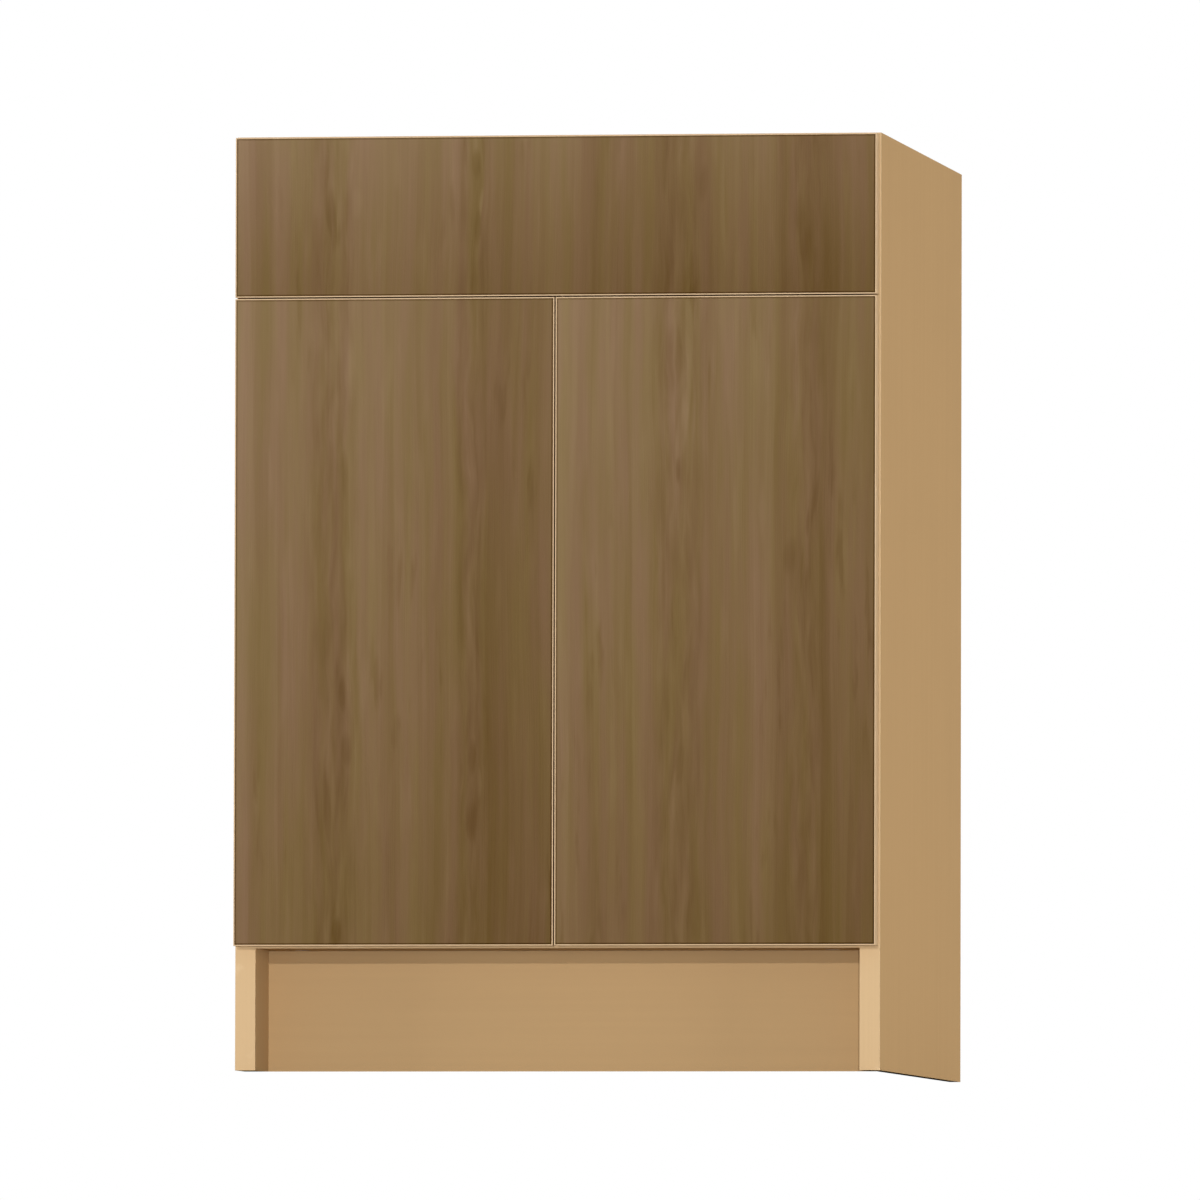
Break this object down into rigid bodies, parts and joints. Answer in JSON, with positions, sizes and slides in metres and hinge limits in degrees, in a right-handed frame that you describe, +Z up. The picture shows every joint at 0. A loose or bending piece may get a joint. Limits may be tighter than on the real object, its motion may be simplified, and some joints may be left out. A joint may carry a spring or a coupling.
{
  "type": "kitchen base cabinet",
  "caption": "Frameless kitchen base cabinet: a drawer over hinged slab doors that open by a push, an adjustable shelf inside and a recessed toe kick below.",
  "frame": {"origin": "middle of the cabinet's footprint, on the floor", "axes": "+X to the right seen from the front, -Y towards the front, +Z up"},
  "size_m": [0.6096, 0.6096, 0.8763],
  "materials": {
    "carcass_board": "light tan melamine-faced board",
    "back_board": "thin faced board",
    "edge_band": "pale wood-tone edge banding",
    "front_laminate": "walnut-brown laminate, upright grain",
    "front_core": "chipboard with a plain tan back",
    "drawer_board": "pale birch plywood",
    "dowel_wood": "plain turned beech",
    "zinc": "die-cast, plated",
    "screw_steel": "zinc-plated",
    "hinge_nickel": "nickel-plated",
    "slide_steel": "zinc-plated sheet",
    "latch_plastic": "grey moulded plastic"
  },
  "bodies": {
    "carcass": {"side_panel_left": "carcass_board", "side_panel_right": "carcass_board", "bottom_panel": "carcass_board", "back_panel": "back_board", "front_top_rail": "carcass_board", "rear_top_rail": "carcass_board", "hanging_rail": "carcass_board", "drawer_rail": "carcass_board", "toe_kick_board": "carcass_board", "carcass_edge_bands": "edge_band", "shelf": "carcass_board", "shelf_pins": "hinge_nickel", "cam_locks": "zinc", "cam_bolts": "screw_steel", "dowels": "dowel_wood", "left_hinge_plates": "zinc", "right_hinge_plates": "zinc", "left_hinge_arms": "hinge_nickel", "right_hinge_arms": "hinge_nickel", "hinge_arm_pins": "screw_steel", "left_slide_outer": "slide_steel", "right_slide_outer": "slide_steel", "hardware_screws": "screw_steel", "latch_housings": "latch_plastic", "latch_springs": "screw_steel"},
    "left_lever": {"left_hinge_levers": "hinge_nickel"},
    "right_lever": {"right_hinge_levers": "hinge_nickel"},
    "left_guide": {"left_guide_levers": "hinge_nickel"},
    "right_guide": {"right_guide_levers": "hinge_nickel"},
    "left_door": {"left_door_core": "front_core", "left_door_face": "front_laminate", "left_door_edge_bands": "edge_band", "left_hinge_cups": "hinge_nickel", "left_cup_pins": "screw_steel", "left_cup_screws": "screw_steel"},
    "left_slide": {"left_slide_middle": "slide_steel", "left_slide_balls": "screw_steel"},
    "left_plunger": {"left_latch_plunger": "latch_plastic"},
    "right_door": {"right_door_core": "front_core", "right_door_face": "front_laminate", "right_door_edge_bands": "edge_band", "right_hinge_cups": "hinge_nickel", "right_cup_pins": "screw_steel", "right_cup_screws": "screw_steel"},
    "right_slide": {"right_slide_middle": "slide_steel", "right_slide_balls": "screw_steel"},
    "right_plunger": {"right_latch_plunger": "latch_plastic"},
    "drawer": {"drawer_front_core": "front_core", "drawer_front_face": "front_laminate", "drawer_front_edge_bands": "edge_band", "drawer_box_front": "drawer_board", "drawer_box_back": "drawer_board", "drawer_side_left": "drawer_board", "drawer_side_right": "drawer_board", "drawer_bottom": "back_board", "drawer_screws": "screw_steel", "drawer_dowels": "dowel_wood", "left_slide_inner": "slide_steel", "right_slide_inner": "slide_steel"},
    "drawer_plunger": {"drawer_latch_plunger": "latch_plastic"}
  },
  "joints": [
    {"name": "left_lever_swing", "type": "hinge", "parent": "carcass", "child": "left_lever", "pos_m": [-0.2703, -0.27385, 0.41955], "axis": [0, 0, -1], "range_deg": [-50, 0]},
    {"name": "left_door_swing", "type": "hinge", "parent": "left_lever", "child": "left_door", "pos_m": [-0.2913, -0.28885, 0.41955], "axis": [0, 0, -1], "range_deg": [0, 150]},
    {"name": "left_guide_swing", "type": "hinge", "parent": "left_door", "child": "left_guide", "pos_m": [-0.2853, -0.28885, 0.41955], "axis": [0, 0, -1], "range_deg": [-130, 0]},
    {"name": "left_plunger_travel", "type": "slide", "parent": "carcass", "child": "left_plunger", "axis": [0, -1, 0], "range_m": [0, 0.01]},
    {"name": "right_lever_swing", "type": "hinge", "parent": "carcass", "child": "right_lever", "pos_m": [0.2703, -0.27385, 0.41955], "axis": [0, 0, 1], "range_deg": [-50, 0]},
    {"name": "right_door_swing", "type": "hinge", "parent": "right_lever", "child": "right_door", "pos_m": [0.2913, -0.28885, 0.41955], "axis": [0, 0, 1], "range_deg": [0, 150]},
    {"name": "right_guide_swing", "type": "hinge", "parent": "right_door", "child": "right_guide", "pos_m": [0.2853, -0.28885, 0.41955], "axis": [0, 0, 1], "range_deg": [-130, 0]},
    {"name": "right_plunger_travel", "type": "slide", "parent": "carcass", "child": "right_plunger", "axis": [0, -1, 0], "range_m": [0, 0.01]},
    {"name": "drawer_slide", "type": "slide", "parent": "carcass", "child": "drawer", "axis": [0, -1, 0], "range_m": [0, 0.48]},
    {"name": "left_slide_extension", "type": "slide", "parent": "carcass", "child": "left_slide", "axis": [0, -1, 0], "range_m": [0, 0.24]},
    {"name": "right_slide_extension", "type": "slide", "parent": "carcass", "child": "right_slide", "axis": [0, -1, 0], "range_m": [0, 0.24]},
    {"name": "drawer_plunger_travel", "type": "slide", "parent": "carcass", "child": "drawer_plunger", "axis": [0, -1, 0], "range_m": [0, 0.01]}
  ],
  "couplings": [
    {"joint": "left_lever_swing", "follows": "left_door_swing", "ratio": -0.33333},
    {"joint": "left_guide_swing", "follows": "left_door_swing", "ratio": -0.86667},
    {"joint": "left_plunger_travel", "follows": "left_door_swing", "m_per_rad": 0.0038},
    {"joint": "right_lever_swing", "follows": "right_door_swing", "ratio": -0.33333},
    {"joint": "right_guide_swing", "follows": "right_door_swing", "ratio": -0.86667},
    {"joint": "right_plunger_travel", "follows": "right_door_swing", "m_per_rad": 0.0038},
    {"joint": "left_slide_extension", "follows": "drawer_slide", "ratio": 0.5},
    {"joint": "right_slide_extension", "follows": "drawer_slide", "ratio": 0.5},
    {"joint": "drawer_plunger_travel", "follows": "drawer_slide", "ratio": 0.0208}
  ]
}
